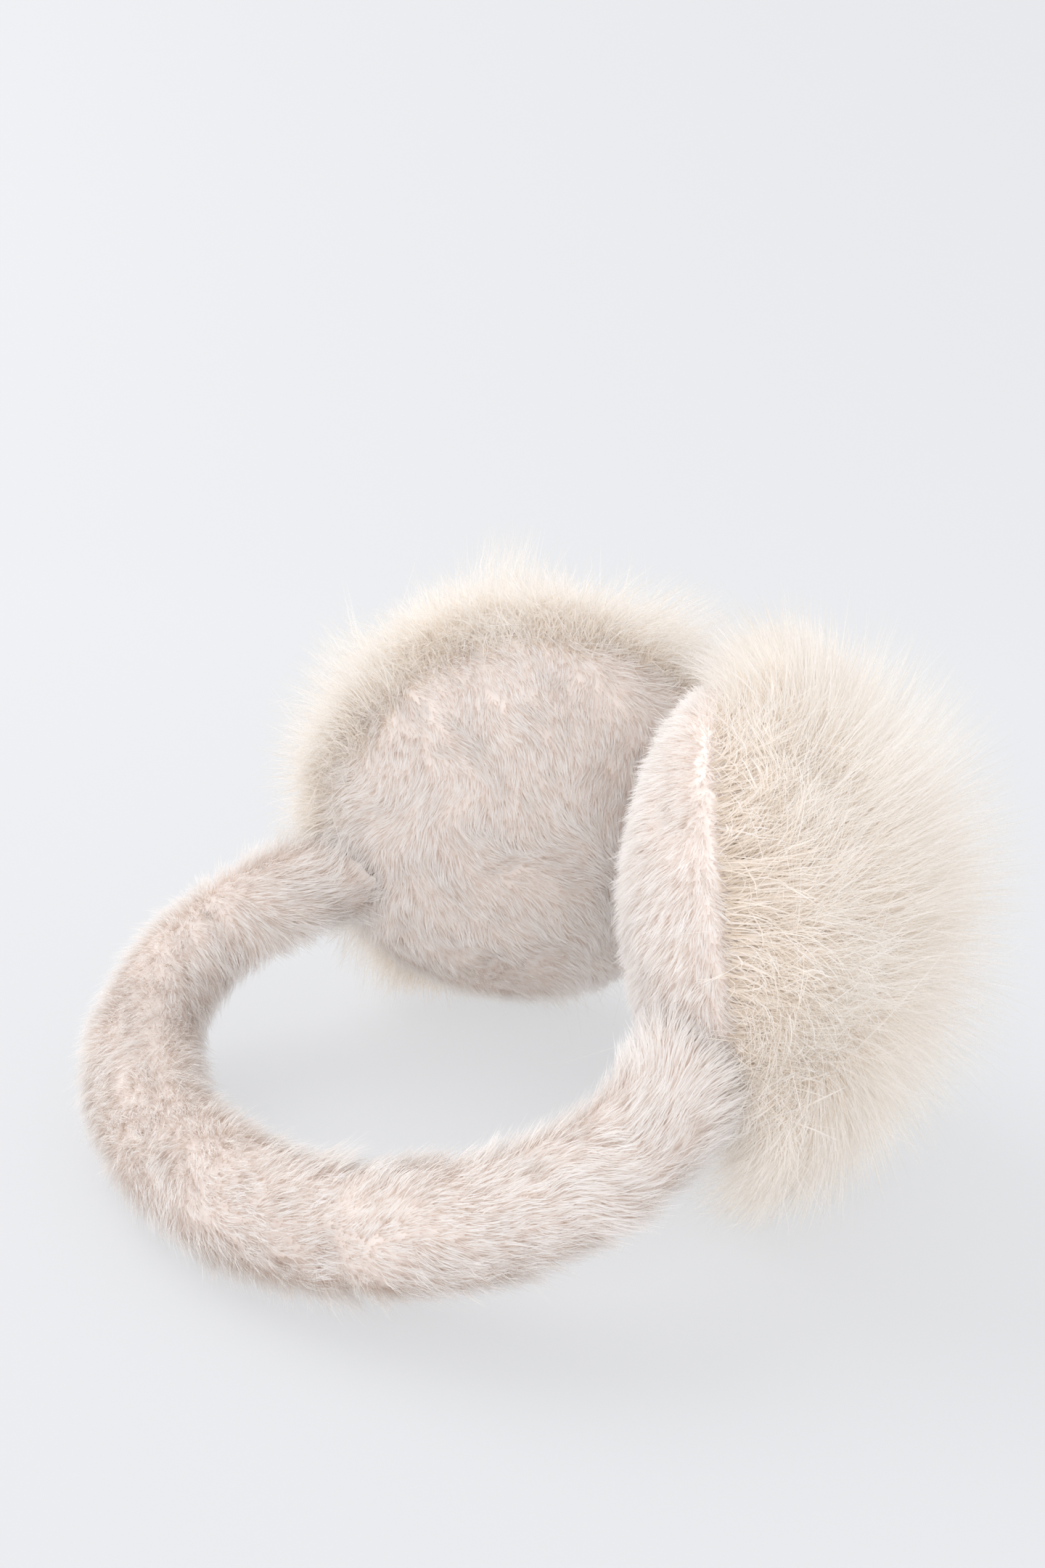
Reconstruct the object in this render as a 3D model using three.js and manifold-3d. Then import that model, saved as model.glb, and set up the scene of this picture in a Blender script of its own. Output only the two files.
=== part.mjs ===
// Fur earmuffs lying on a table: a C-shaped padded headband in short plush, and at each end an oval ear pad
// made of a domed plush cushion on the ear side and a long-haired fur cover on the outside.
// Millimetres, +Z up. The earmuffs rest on the crown of the headband and on the long hair under both pads.
// The origin is under the middle of their box, at the table. The crown points to -Y and the wearer's ears are at +X and -X.
import * as THREE from "three";
import { mergeVertices } from "three/addons/utils/BufferGeometryUtils.js";
import Module from "manifold-3d";

const wasm = await Module();
wasm.setup();

// Headband: half an ellipse and a little more, in a flat plane, with a round section.
const BAND_HALF_WIDTH = 69; // middle line of the tube, from the plane of symmetry
const BAND_DEPTH = 57; // the ellipse's other half axis, from the crown towards the pads
const BAND_SWEEP = 108.5; // degrees from the crown to each end
const BAND_RADIUS = 13;
const BAND_END_TUCK = 14; // how far the tube would run on inside the pad, before it is cut to the pad's edge

// Ear pads: oval in their own plane, which leans in by the toe-in angle.
const PAD_LENGTH_RADIUS = 56.5; // along the line that the headband starts
const PAD_WIDTH_RADIUS = 57; // across it
const PAD_TOE_IN = 38.5; // degrees that each pad turns in from the plane of symmetry's direction
const PAD_EDGE_GAP = 0; // from the end of the headband's middle line to the pad's edge
const SEAM_OFFSET = 18; // the seam plane lies this far outside the headband's middle line
const CUSHION_DEPTH = 35; // from the seam plane to the top of the dome that presses on the ear
const CUSHION_FULLNESS = 2.05; // exponent of the dome's profile: 2 is an ellipse, more is boxier
const SEAM_PULL = 3.2; // how far the seam draws the edge in
const SEAM_PULL_DEPTH = 5; // how far up the side the seam is felt

// Fur covers.
const BACKING_DEPTH = 13; // padded outer half of the pad, under the hair
const BACKING_INSET = 2.5; // the backing's edge lies this far inside the cushion's
const FUR_OVERHANG_TOP = 12.5; // how far the hair reaches past the cushion's edge, above
const FUR_OVERHANG_BOTTOM = 10; // and below, where it lies on the table
const FUR_DEPTH = 56; // from the seam plane to the tips
const LOCK_RADIUS = 9.2;
const LOCK_SPREAD = 95; // degrees from the pad's axis to the outermost tips: over 90 leans over the ear side
const LOCK_LEAN = 4; // how far the tips lean up above the pad's middle, and down below it
const LOCK_RAGGEDNESS = 0.14; // share of a lock's length that varies from lock to lock
const FUR_DENSE = 0.56; // share of the hair's length over which it is too dense to part into locks

// Fits and contact.
const PIECE_GAP = 0.3; // between pieces that are sewn together
const PAIR_GAP = 1.2; // between the two pads, where they come closest
const CONTACT_FLAT = 1.0; // how deep the plush is pressed flat where it rests on the table
const LOCK_FLAT = 0.8; // and the locks
const PAD_LIFT = 5; // how high the hair under the pads holds the cushions above the table

// Mesh fineness.
const BAND_SIDES = 16;
const BAND_STEPS = 48;
const PAD_SIDES = 36;
const CUSHION_STEPS = 9;
const BACKING_STEPS = 4;
const FUR_STEPS = 5;
const LOCK_SIDES = 5;
const LOCK_STEPS = 3;

// The tube's radius along the headband, as shares of BAND_RADIUS. Place runs from 0 at the left end to 1 at the right.
const BAND_FULLNESS = [
  { place: 0.0, share: 0.93 },
  { place: 0.1, share: 0.95 },
  { place: 0.3, share: 1.02 },
  { place: 0.5, share: 1.06 },
  { place: 0.62, share: 1.06 },
  { place: 0.66, share: 0.98 }, // the plush is joined here by a seam that runs round the tube
  { place: 0.7, share: 1.04 },
  { place: 0.88, share: 0.98 },
  { place: 1.0, share: 0.95 },
];

// Shallow dents in the ear side of the cushions. Angle is round the pad from the far end; out is a share of the pad's
// radius; depth is a share of CUSHION_DEPTH; wide is a share of the pad's radius.
const CUSHION_DENTS = [
  { angle: 35, out: 0.55, depth: 0.07, wide: 0.3 },
  { angle: 190, out: 0.62, depth: 0.09, wide: 0.26 },
  { angle: 285, out: 0.5, depth: 0.05, wide: 0.34 },
];

// Rings of locks on the backing. Out is a share of the backing's radius; turn shifts the ring by a share of its spacing.
const LOCK_RINGS = [
  { out: 0.0, count: 1, turn: 0.0 },
  { out: 0.28, count: 6, turn: 0.0 },
  { out: 0.52, count: 12, turn: 0.5 },
  { out: 0.76, count: 18, turn: 0.2 },
  { out: 0.97, count: 24, turn: 0.6 },
];

// How the hair of each cover is combed. Angle is round the pad from its far end; share is the part of LOCK_SPREAD that
// is taken off there, and a share below 0 lays the hair over the plush.
const COMBING = [
  { pad: "right", angle: -148.6, share: 0.4 },
  { pad: "right", angle: 115, share: -0.12 },
  { pad: "left", angle: -150, share: -0.08 },
  { pad: "left", angle: -80, share: -0.08 },
];

const radians = THREE.MathUtils.degToRad;
const smooth = (t) => t * t * (3 - 2 * t);

// A repeatable number from 0 to 1 for lock number n.
function scatter(n, kind) {
  const s = Math.sin(n * 12.9898 + kind * 78.233) * 43758.5453;
  return s - Math.floor(s);
}

// The value of a table's column between its rows, eased from row to row.
function between(table, column, place) {
  const next = table.findIndex((row) => row.place >= place);
  if (next <= 0) return table[Math.max(next, 0)][column];
  const [a, b] = [table[next - 1], table[next]];
  return a[column] + (b[column] - a[column]) * smooth((place - a.place) / (b.place - a.place));
}

// A closed geometry through rings of points, each with the same number of points, closed by a point at each end.
function loft(rings, firstPole, lastPole) {
  const sides = rings[0].length;
  const points = [...rings.flat(), firstPole, lastPole];
  const first = points.length - 2;
  const last = points.length - 1;
  const index = [];
  for (let r = 0; r < rings.length - 1; r++) {
    for (let i = 0; i < sides; i++) {
      const a = r * sides + i;
      const b = r * sides + ((i + 1) % sides);
      index.push(a, b, a + sides, b, b + sides, a + sides);
    }
  }
  const top = (rings.length - 1) * sides;
  for (let i = 0; i < sides; i++) {
    const next = (i + 1) % sides;
    index.push(first, next, i);
    index.push(last, top + i, top + next);
  }
  return new THREE.BufferGeometry().setFromPoints(points).setIndex(index);
}

// A closed geometry as a solid with its faces pointing out.
function solidOf(geometry) {
  const bare = new THREE.BufferGeometry().setAttribute("position", geometry.getAttribute("position"));
  const merged = mergeVertices(bare.setIndex(geometry.index), 1e-4);
  const vertProperties = new Float32Array(merged.attributes.position.array);
  const triVerts = new Uint32Array(merged.index.array);
  const solid = new wasm.Manifold(new wasm.Mesh({ numProp: 3, vertProperties, triVerts }));
  if (solid.volume() > 0) return solid;
  for (let i = 0; i < triVerts.length; i += 3) [triVerts[i + 1], triVerts[i + 2]] = [triVerts[i + 2], triVerts[i + 1]];
  return new wasm.Manifold(new wasm.Mesh({ numProp: 3, vertProperties, triVerts }));
}

// The largest body of a solid: slivers that a cut leaves behind are dropped.
function mainBody(solid) {
  return solid.decompose().reduce((a, b) => (b.volume() > a.volume() ? b : a));
}

// A named mesh from a solid.
function meshOf(name, solid, material) {
  const { vertProperties, triVerts, numProp, numVert } = solid.getMesh();
  const position = new Float32Array(numVert * 3);
  for (let i = 0; i < numVert; i++) position.set(vertProperties.subarray(i * numProp, i * numProp + 3), i * 3);
  const geometry = new THREE.BufferGeometry();
  geometry.setAttribute("position", new THREE.BufferAttribute(position, 3));
  geometry.setIndex(new THREE.BufferAttribute(triVerts, 1));
  geometry.computeVertexNormals();
  const mesh = new THREE.Mesh(geometry, material);
  mesh.name = name;
  return mesh;
}

// Headband, in its own plane: X across, Y from the crown towards the pads, Z square to the plane.

// A point on the middle line, and its direction, at an angle from the crown. Past the ends the line runs straight.
function bandLine(angle, runOn = 0) {
  const a = radians(angle);
  const along = new THREE.Vector3(BAND_HALF_WIDTH * Math.cos(a), BAND_DEPTH * Math.sin(a), 0).normalize();
  const point = new THREE.Vector3(BAND_HALF_WIDTH * Math.sin(a), BAND_DEPTH * (1 - Math.cos(a)), 0);
  return { point: point.addScaledVector(along, runOn), along };
}

function bandSolid(grow) {
  const rings = [];
  for (let i = -1; i <= BAND_STEPS + 1; i++) {
    const place = THREE.MathUtils.clamp(i / BAND_STEPS, 0, 1);
    const runOn = i < 0 ? -BAND_END_TUCK : i > BAND_STEPS ? BAND_END_TUCK : 0;
    const { point, along } = bandLine((place * 2 - 1) * BAND_SWEEP, runOn);
    const out = new THREE.Vector3(along.y, -along.x, 0);
    const radius = BAND_RADIUS * between(BAND_FULLNESS, "share", place) + grow;
    rings.push(
      Array.from({ length: BAND_SIDES }, (_, k) => {
        const turn = (2 * Math.PI * k) / BAND_SIDES;
        const ring = point.clone().addScaledVector(out, radius * Math.cos(turn));
        return ring.setZ(ring.z + radius * Math.sin(turn));
      }),
    );
  }
  const left = bandLine(-BAND_SWEEP, -BAND_END_TUCK).point;
  const right = bandLine(BAND_SWEEP, BAND_END_TUCK).point;
  return solidOf(loft(rings, left, right));
}

// Ear pads, in their own frame: X along the pad from the headband's end to the far end, Y across it, and Z from the
// seam plane in towards the ear.

// How far the seam draws the edge in at a height above the seam plane.
const seamPull = (height) => SEAM_PULL * (1 - smooth(Math.min(Math.abs(height) / SEAM_PULL_DEPTH, 1)));

// How deep the dents are at a point of the ear side.
function dentDepth(angle, out) {
  const x = out * Math.cos(angle);
  const y = out * Math.sin(angle);
  return CUSHION_DENTS.reduce((sum, dent) => {
    const dx = x - dent.out * Math.cos(radians(dent.angle));
    const dy = y - dent.out * Math.sin(radians(dent.angle));
    return sum + dent.depth * CUSHION_DEPTH * Math.exp(-(dx * dx + dy * dy) / (dent.wide * dent.wide));
  }, 0);
}

function cushionSolid(grow) {
  const rings = [];
  for (let i = 0; i < CUSHION_STEPS; i++) {
    const t = (i / CUSHION_STEPS) * (Math.PI / 2);
    const out = Math.pow(Math.cos(t), 2 / CUSHION_FULLNESS);
    const height = Math.pow(Math.sin(t), 2 / CUSHION_FULLNESS) * CUSHION_DEPTH;
    const lengthRadius = PAD_LENGTH_RADIUS * out - seamPull(height) + grow;
    const widthRadius = PAD_WIDTH_RADIUS * out - seamPull(height) + grow;
    rings.push(
      Array.from({ length: PAD_SIDES }, (_, k) => {
        const angle = (2 * Math.PI * k) / PAD_SIDES;
        const raised = i === 0 ? -grow : height + grow - dentDepth(angle, out) * smooth(height / CUSHION_DEPTH);
        return new THREE.Vector3(lengthRadius * Math.cos(angle), widthRadius * Math.sin(angle), raised);
      }),
    );
  }
  const top = CUSHION_DEPTH + grow - dentDepth(0, 0);
  return solidOf(loft(rings, new THREE.Vector3(0, 0, -grow), new THREE.Vector3(0, 0, top)));
}

// A point on the backing's dome: out is the share of its radius, from 0 at the middle to 1 at the seam.
function backingPoint(angle, out) {
  const drop = Math.sqrt(Math.max(1 - out * out, 0));
  return new THREE.Vector3(
    (PAD_LENGTH_RADIUS - BACKING_INSET) * out * Math.cos(angle),
    (PAD_WIDTH_RADIUS - BACKING_INSET) * out * Math.sin(angle),
    -PIECE_GAP - BACKING_DEPTH * drop,
  );
}

function backingSolid(grow) {
  const rings = [];
  for (let i = 0; i < BACKING_STEPS; i++) {
    const out = Math.cos(((i / BACKING_STEPS) * Math.PI) / 2);
    rings.push(
      Array.from({ length: PAD_SIDES }, (_, k) => {
        const point = backingPoint((2 * Math.PI * k) / PAD_SIDES, out);
        const wide = 1 + grow / PAD_WIDTH_RADIUS;
        return new THREE.Vector3(point.x * wide, point.y * wide, point.z - (i === 0 ? 0 : grow));
      }),
    );
  }
  const lip = new THREE.Vector3(0, 0, -PIECE_GAP);
  return solidOf(loft(rings, lip, new THREE.Vector3(0, 0, -PIECE_GAP - BACKING_DEPTH - grow)));
}

// The path of a hair in the right pad's frame. Up is the table's up there.
function hairPath(pad, angle, out, length, up) {
  const root = backingPoint(angle, out).multiplyScalar(0.86);
  const combed = COMBING.filter((row) => row.pad === pad).reduce((left, row) => {
    return left - row.share * Math.pow(Math.max(Math.cos(angle - radians(row.angle)), 0), 2);
  }, 1);
  const spread = radians(LOCK_SPREAD) * Math.pow(out, 0.92) * combed;
  const raised = 0.5 + 0.5 * (up.x * Math.cos(angle) + up.y * Math.sin(angle));
  const overhang = THREE.MathUtils.lerp(FUR_OVERHANG_BOTTOM, FUR_OVERHANG_TOP, raised);
  const tip = new THREE.Vector3(
    (PAD_LENGTH_RADIUS + overhang) * Math.sin(spread) * Math.cos(angle),
    (PAD_WIDTH_RADIUS + overhang) * Math.sin(spread) * Math.sin(angle),
    -FUR_DEPTH * Math.cos(spread),
  );
  tip.sub(root).multiplyScalar(length).add(root).addScaledVector(up, LOCK_LEAN * (2 * raised - 1));
  const leave = backingPoint(angle, out).setZ(-BACKING_DEPTH * 1.6 - FUR_DEPTH * 0.3 * (1 - out));
  const bend = root.clone().lerp(tip, 0.55).lerp(leave, 0.18);
  return new THREE.QuadraticBezierCurve3(root, bend, tip);
}

// One lock of hair: a curved, tapering horn from inside the backing to its tip.
function lockSolid(pad, angle, out, number, up, floorHeight) {
  const length = 1 - LOCK_RAGGEDNESS * scatter(number, 1);
  const swing = angle + (scatter(number, 2) - 0.5) * 0.25;
  const path = hairPath(pad, swing, out, length, up);
  const rings = [];
  for (let i = 0; i < LOCK_STEPS; i++) {
    const t = i / LOCK_STEPS;
    const middle = raise(path.getPoint(t), up, floorHeight, LOCK_RADIUS * 0.5);
    const along = path.getTangent(t);
    const side = new THREE.Vector3().crossVectors(along, new THREE.Vector3(0.3, 0.4, 0.86)).normalize();
    const other = new THREE.Vector3().crossVectors(along, side).normalize();
    const radius = LOCK_RADIUS * (1 - 0.75 * t * t) * (0.85 + 0.3 * scatter(number, 3));
    rings.push(
      Array.from({ length: LOCK_SIDES }, (_, k) => {
        const turn = (2 * Math.PI * k) / LOCK_SIDES + number;
        const corner = middle.clone().addScaledVector(side, radius * Math.cos(turn));
        return raise(corner.addScaledVector(other, radius * Math.sin(turn)), up, floorHeight, 0);
      }),
    );
  }
  return solidOf(loft(rings, raise(path.v0, up, floorHeight, 0), raise(path.v2, up, floorHeight, 0)));
}

// The dense body of the fur: its surface lies part of the way along the hairs, all round the pad.
function furBodySolid(pad, up, floorHeight) {
  const rings = [];
  for (let i = 0; i <= FUR_STEPS; i++) {
    const out = 1 - i / (FUR_STEPS + 0.5);
    rings.push(
      Array.from({ length: PAD_SIDES }, (_, k) => {
        const path = hairPath(pad, (2 * Math.PI * k) / PAD_SIDES, out, 1 - LOCK_RAGGEDNESS / 2, up);
        return raise(path.getPoint(FUR_DENSE), up, floorHeight, 0);
      }),
    );
  }
  const lip = Array.from({ length: PAD_SIDES }, (_, k) => backingPoint((2 * Math.PI * k) / PAD_SIDES, 1));
  const pole = hairPath(pad, 0, 0, 1 - LOCK_RAGGEDNESS / 2, up).getPoint(FUR_DENSE);
  return solidOf(loft([lip, ...rings], new THREE.Vector3(0, 0, -PIECE_GAP), pole));
}

// A point lifted, where it has to be, to lie on the table.
function raise(point, up, floorHeight, clear) {
  const short = floorHeight - LOCK_FLAT + clear - point.dot(up);
  return short > 0 ? point.clone().addScaledVector(up, short) : point;
}

function furCoverSolid(pad, up, floorHeight) {
  let number = 0;
  const locks = LOCK_RINGS.flatMap((ring) =>
    Array.from({ length: ring.count }, (_, k) => {
      const angle = (2 * Math.PI * (k + ring.turn)) / ring.count;
      number += 1;
      return lockSolid(pad, angle, ring.out, number, up, floorHeight);
    }),
  );
  return locks.reduce((whole, lock) => whole.add(lock), backingSolid(0).add(furBodySolid(pad, up, floorHeight)));
}

// Where the pads sit on the headband, in the headband's frame. Side is 1 for +X and -1 for -X.
function padPlacement(side) {
  const toeIn = radians(PAD_TOE_IN);
  const along = new THREE.Vector3(-side * Math.sin(toeIn), Math.cos(toeIn), 0);
  const inwards = new THREE.Vector3(-side * Math.cos(toeIn), -Math.sin(toeIn), 0);
  const across = new THREE.Vector3().crossVectors(inwards, along);
  const centre = bandLine(side * BAND_SWEEP).point;
  centre.addScaledVector(along, PAD_LENGTH_RADIUS + PAD_EDGE_GAP).addScaledVector(inwards, -SEAM_OFFSET);
  return new THREE.Matrix4().makeBasis(along, across, inwards).setPosition(centre);
}

const transformed = (solid, matrix) => solid.transform(matrix.elements);
const mirrored = (solid) => solid.mirror([0, 1, 0]);

// The corners of a solid as vectors.
function corners(solid) {
  const { vertProperties, numProp, numVert } = solid.getMesh();
  return Array.from({ length: numVert }, (_, i) => new THREE.Vector3().fromArray(vertProperties, i * numProp));
}

// The lowest point of a set of corners once the headband's plane is tilted up by an angle about X.
const lowest = (points, tilt) =>
  points.reduce((low, p) => Math.min(low, p.y * Math.sin(tilt) + p.z * Math.cos(tilt)), Infinity);

// The tilt at which the crown touches the table with the cushions held just above it, found by halving.
function restingTilt(bandPoints, cushionPoints) {
  let [flat, steep] = [0, radians(60)];
  for (let i = 0; i < 40; i++) {
    const tilt = (flat + steep) / 2;
    if (lowest(cushionPoints, tilt) < lowest(bandPoints, tilt) + PAD_LIFT) flat = tilt;
    else steep = tilt;
  }
  return (flat + steep) / 2;
}

// What a solid keeps above the table, for a piece whose matrix into the laid-down object is given.
function aboveTable(solid, matrix) {
  const m = matrix.elements;
  return solid.trimByPlane([m[2], m[6], m[10]], -m[14]);
}

// What a piece of the right pad keeps on its own side of the plane between the pads.
function onOwnSide(solid) {
  const m = padToTable.elements;
  return solid.trimByPlane([m[0], m[4], m[8]], PAIR_GAP / 2 - m[12]);
}

const rightPlacement = padPlacement(1);
const pads = [
  { side: "right", placement: rightPlacement, shape: (solid) => solid },
  { side: "left", placement: padPlacement(-1), shape: mirrored },
];
const wholeBand = bandSolid(0);
const cushionInBandFrame = transformed(cushionSolid(0), rightPlacement);
const tilt = restingTilt(corners(wholeBand), corners(cushionInBandFrame));
const lift = -lowest(corners(wholeBand), tilt) - CONTACT_FLAT;
const laid = new THREE.Matrix4().makeRotationX(tilt).setPosition(0, 0, lift);

// The pads are cut and their locks laid down in the pad's own frame. The left pad mirrors the right one.
const padToTable = new THREE.Matrix4().multiplyMatrices(laid, rightPlacement);
const tableUp = new THREE.Vector3(0, 0, 1).transformDirection(padToTable.clone().transpose().setPosition(0, 0, 0));
const tableHeight = -padToTable.elements[14];

function cutBand() {
  const clearances = pads.flatMap(({ placement, shape }) => [
    transformed(shape(cushionSolid(PIECE_GAP)), placement),
    transformed(shape(backingSolid(PIECE_GAP)), placement),
  ]);
  const cut = clearances.reduce((band, clearance) => band.subtract(clearance), wholeBand);
  return aboveTable(mainBody(cut), laid);
}

function cutCover(pad) {
  const bandInPadFrame = transformed(bandSolid(PIECE_GAP), rightPlacement.clone().invert());
  const cushionClearance = cushionSolid(PIECE_GAP);
  const cover = furCoverSolid(pad, tableUp, tableHeight).subtract(bandInPadFrame).subtract(cushionClearance);
  return mainBody(aboveTable(onOwnSide(cover), padToTable));
}

const plush = new THREE.MeshStandardMaterial({ color: 0xe6d8d0, roughness: 0.95, metalness: 0 });
const longFur = new THREE.MeshStandardMaterial({ color: 0xf1e8dc, roughness: 0.9, metalness: 0 });

const cushion = onOwnSide(cushionSolid(0));

const earmuffs = new THREE.Group();
earmuffs.applyMatrix4(laid);
earmuffs.add(meshOf("headband", cutBand(), plush));

for (const { side, placement, shape } of pads) {
  const pad = new THREE.Group();
  pad.applyMatrix4(placement);
  pad.add(meshOf(`ear_cushion_${side}`, shape(cushion), plush));
  pad.add(meshOf(`fur_cover_${side}`, shape(cutCover(side)), longFur));
  earmuffs.add(pad);
}

// The origin goes under the middle of the box.
const object = new THREE.Group();
object.add(earmuffs);
object.updateMatrixWorld(true);
const box = new THREE.Box3().setFromObject(object, true);
object.position.set(-(box.min.x + box.max.x) / 2, -(box.min.y + box.max.y) / 2, -box.min.z);

export default object;
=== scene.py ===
"""Fur earmuffs lying on a table.

The headband and the two ear cushions are padded forms in short plush. Each ear pad has a fur cover on its outside:
a padded backing with a dense undercoat and long guard hairs. All hair is real geometry: thin tapering ribbons that
follow the same curves as the locks of the solid model. Lengths are in metres.
"""
import math

import bpy
import numpy as np
from mathutils import Matrix, Vector


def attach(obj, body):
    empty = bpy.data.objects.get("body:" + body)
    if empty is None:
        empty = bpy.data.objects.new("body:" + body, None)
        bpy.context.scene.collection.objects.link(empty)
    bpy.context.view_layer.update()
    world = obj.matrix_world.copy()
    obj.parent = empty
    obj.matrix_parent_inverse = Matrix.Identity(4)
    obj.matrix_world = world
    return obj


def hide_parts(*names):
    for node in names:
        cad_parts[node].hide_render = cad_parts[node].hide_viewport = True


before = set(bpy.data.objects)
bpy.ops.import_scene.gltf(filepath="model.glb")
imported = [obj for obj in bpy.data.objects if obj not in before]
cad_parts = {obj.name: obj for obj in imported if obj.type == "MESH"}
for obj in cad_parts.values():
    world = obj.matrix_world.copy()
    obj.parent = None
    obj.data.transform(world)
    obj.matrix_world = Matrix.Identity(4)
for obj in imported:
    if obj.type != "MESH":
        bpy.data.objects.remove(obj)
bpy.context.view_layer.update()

# Sizes of the object, as in the solid model.
BAND_HALF_WIDTH = 0.069
BAND_DEPTH = 0.057
BAND_SWEEP = math.radians(108.5)
BAND_RADIUS = 0.013
PAD_LENGTH_RADIUS = 0.0565
PAD_WIDTH_RADIUS = 0.057
PAD_TOE_IN = math.radians(38.5)
SEAM_OFFSET = 0.018
CUSHION_DEPTH = 0.035
CUSHION_FULLNESS = 2.05
BACKING_DEPTH = 0.013
BACKING_INSET = 0.0025
SEAM_PULL = 0.0032
SEAM_PULL_DEPTH = 0.005
PILE_INSET = 0.0024
PIECE_GAP = 0.0003
PAIR_GAP = 0.0012
FUR_OVERHANG_TOP = 0.0125
FUR_OVERHANG_BOTTOM = 0.010
FUR_DEPTH = 0.056
FUR_SPREAD = math.radians(95)
FUR_LEAN = 0.004
FUR_NAP = 0.008
BAND_SEAM_PLACE = 0.66

# How the headband's plane lies: tilted up from the table about the crown's middle line.
BAND_TILT = math.radians(21.219)
CROWN = np.array([-0.001831, -0.084196, 0.012777])

# Triangles a strand takes: two for each stretch and one for the tip.
PILE_NODES = 3
HAIR_NODES = 5
UNDERCOAT_NODES = 4
CUSHION_PILE_COUNT = 57000
BAND_PILE_COUNT = 50000
GUARD_COUNT = 20000
UNDERCOAT_COUNT = 20000

# The fur falls in wide clumps, and the hairs in each are drawn together by this share.
CLUMPS = 110
CLUMP_GATHER = 0.56

# How each pad is combed, with the right pad's angles mirrored on the left. Combing rows are an angle round the pad,
# the share of the spread that is taken off there, how far the hair's roots come up over the cushion's edge, and by
# what share the hair is longer. A spread share below 0 lays the hair over the plush. Rim share is how much of the
# hair grows at the seam, and rim lean is how far it leans either way. Swirl is how unsettled the plush is.
PADS = [
    {
        "word": "right",
        "side": 1,
        "combing": [
            (math.radians(-148.6), 0.36, 0.0028, 0.0),
            (math.radians(-80), -0.14, 0.0065, 0.0),
            (math.radians(150), -0.32, 0.006, 0.1),
        ],
        "rim_share": 0.28,
        "rim_lean": (math.radians(-24), math.radians(20)),
        "swirl": 0.3,
        "seed": 100,
    },
    {
        "word": "left",
        "side": -1,
        "combing": [(math.radians(-165), -0.08, 0.017, 0.12), (math.radians(-80), -0.1, 0.0145, -0.15)],
        "rim_share": 0.4,
        "rim_lean": (math.radians(-14), math.radians(24)),
        "swirl": 1.0,
        "seed": 200,
    },
]

# UV columns that the strands share. Across is the strand's own tone, up is from root to tip.
TONE_COLUMNS = 64
UV_MAP = "OFBake"


# Camera


def make_camera():
    """The photograph's view: azimuth and elevation round the earmuffs, a slight roll, and the lens."""
    azimuth, elevation, roll = math.radians(48.2), math.radians(16.8), math.radians(5.1)
    target = Vector((-0.04453, 0.03457, 0.0668))
    distance = 0.4309
    focal_pixels = 2302.0
    long_side_pixels = 2160.0
    back = Vector(
        (
            math.sin(azimuth) * math.cos(elevation),
            -math.cos(azimuth) * math.cos(elevation),
            math.sin(elevation),
        )
    )
    level = Vector((math.cos(azimuth), math.sin(azimuth), 0.0))
    upright = back.cross(level)
    right = level * math.cos(roll) + upright * math.sin(roll)
    up = upright * math.cos(roll) - level * math.sin(roll)
    turn = Matrix((right, up, back)).transposed()
    data = bpy.data.cameras.new("camera")
    data.sensor_width = 36.0
    data.lens = focal_pixels / long_side_pixels * data.sensor_width
    data.clip_start = 0.01
    data.clip_end = 20.0
    camera = bpy.data.objects.new("camera", data)
    bpy.context.scene.collection.objects.link(camera)
    camera.location = target + back * distance
    camera.rotation_mode = "QUATERNION"
    camera.rotation_quaternion = turn.to_quaternion()
    bpy.context.scene.camera = camera
    return back, level


# Frames and curves of the object


def unit(v):
    """Vectors along the last axis, made one long."""
    return v / np.maximum(np.linalg.norm(v, axis=-1, keepdims=True), 1e-12)


def ease(t):
    """From 0 to 1 with a soft start and end."""
    t = np.clip(t, 0.0, 1.0)
    return t * t * (3.0 - 2.0 * t)


BAND_ACROSS = np.array([1.0, 0.0, 0.0])
BAND_AWAY = np.array([0.0, math.cos(BAND_TILT), math.sin(BAND_TILT)])
BAND_UP = np.array([0.0, -math.sin(BAND_TILT), math.cos(BAND_TILT)])


def from_band(x, away, up=0.0):
    """A point of the headband's own plane in the row frame."""
    x, away, up = np.broadcast_arrays(x, away, up)
    return (
        CROWN
        + x[..., None] * BAND_ACROSS
        + away[..., None] * BAND_AWAY
        + up[..., None] * BAND_UP
    )


def band_line(angle):
    """The headband's middle line at an angle from the crown."""
    return from_band(BAND_HALF_WIDTH * np.sin(angle), BAND_DEPTH * (1.0 - np.cos(angle)))


def on_side(p, side):
    """A point of the right half, or its mirror image for side -1."""
    return p if side > 0 else p * np.array([-1.0, 1.0, 1.0]) + np.array([2 * CROWN[0], 0.0, 0.0])


class PadFrame:
    """Where the right pad lies: along it from the headband, across it, and in towards the ear."""

    def __init__(self):
        c, s = math.cos(PAD_TOE_IN), math.sin(PAD_TOE_IN)
        self.along = -s * BAND_ACROSS + c * BAND_AWAY
        self.inwards = -c * BAND_ACROSS - s * BAND_AWAY
        self.across = np.cross(self.inwards, self.along)
        end = band_line(BAND_SWEEP)
        self.centre = end + self.along * PAD_LENGTH_RADIUS - self.inwards * SEAM_OFFSET
        self.axes = np.array([self.along, self.across, self.inwards])
        self.table_up = self.axes @ np.array([0.0, 0.0, 1.0])

    def to_row(self, p):
        return self.centre + p @ self.axes

    def from_row(self, p):
        return (p - self.centre) @ self.axes.T

    def matrix(self):
        m = np.eye(4)
        m[:3, :3] = self.axes.T
        m[:3, 3] = self.centre
        return Matrix(m.tolist())


PAD = PadFrame()


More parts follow.
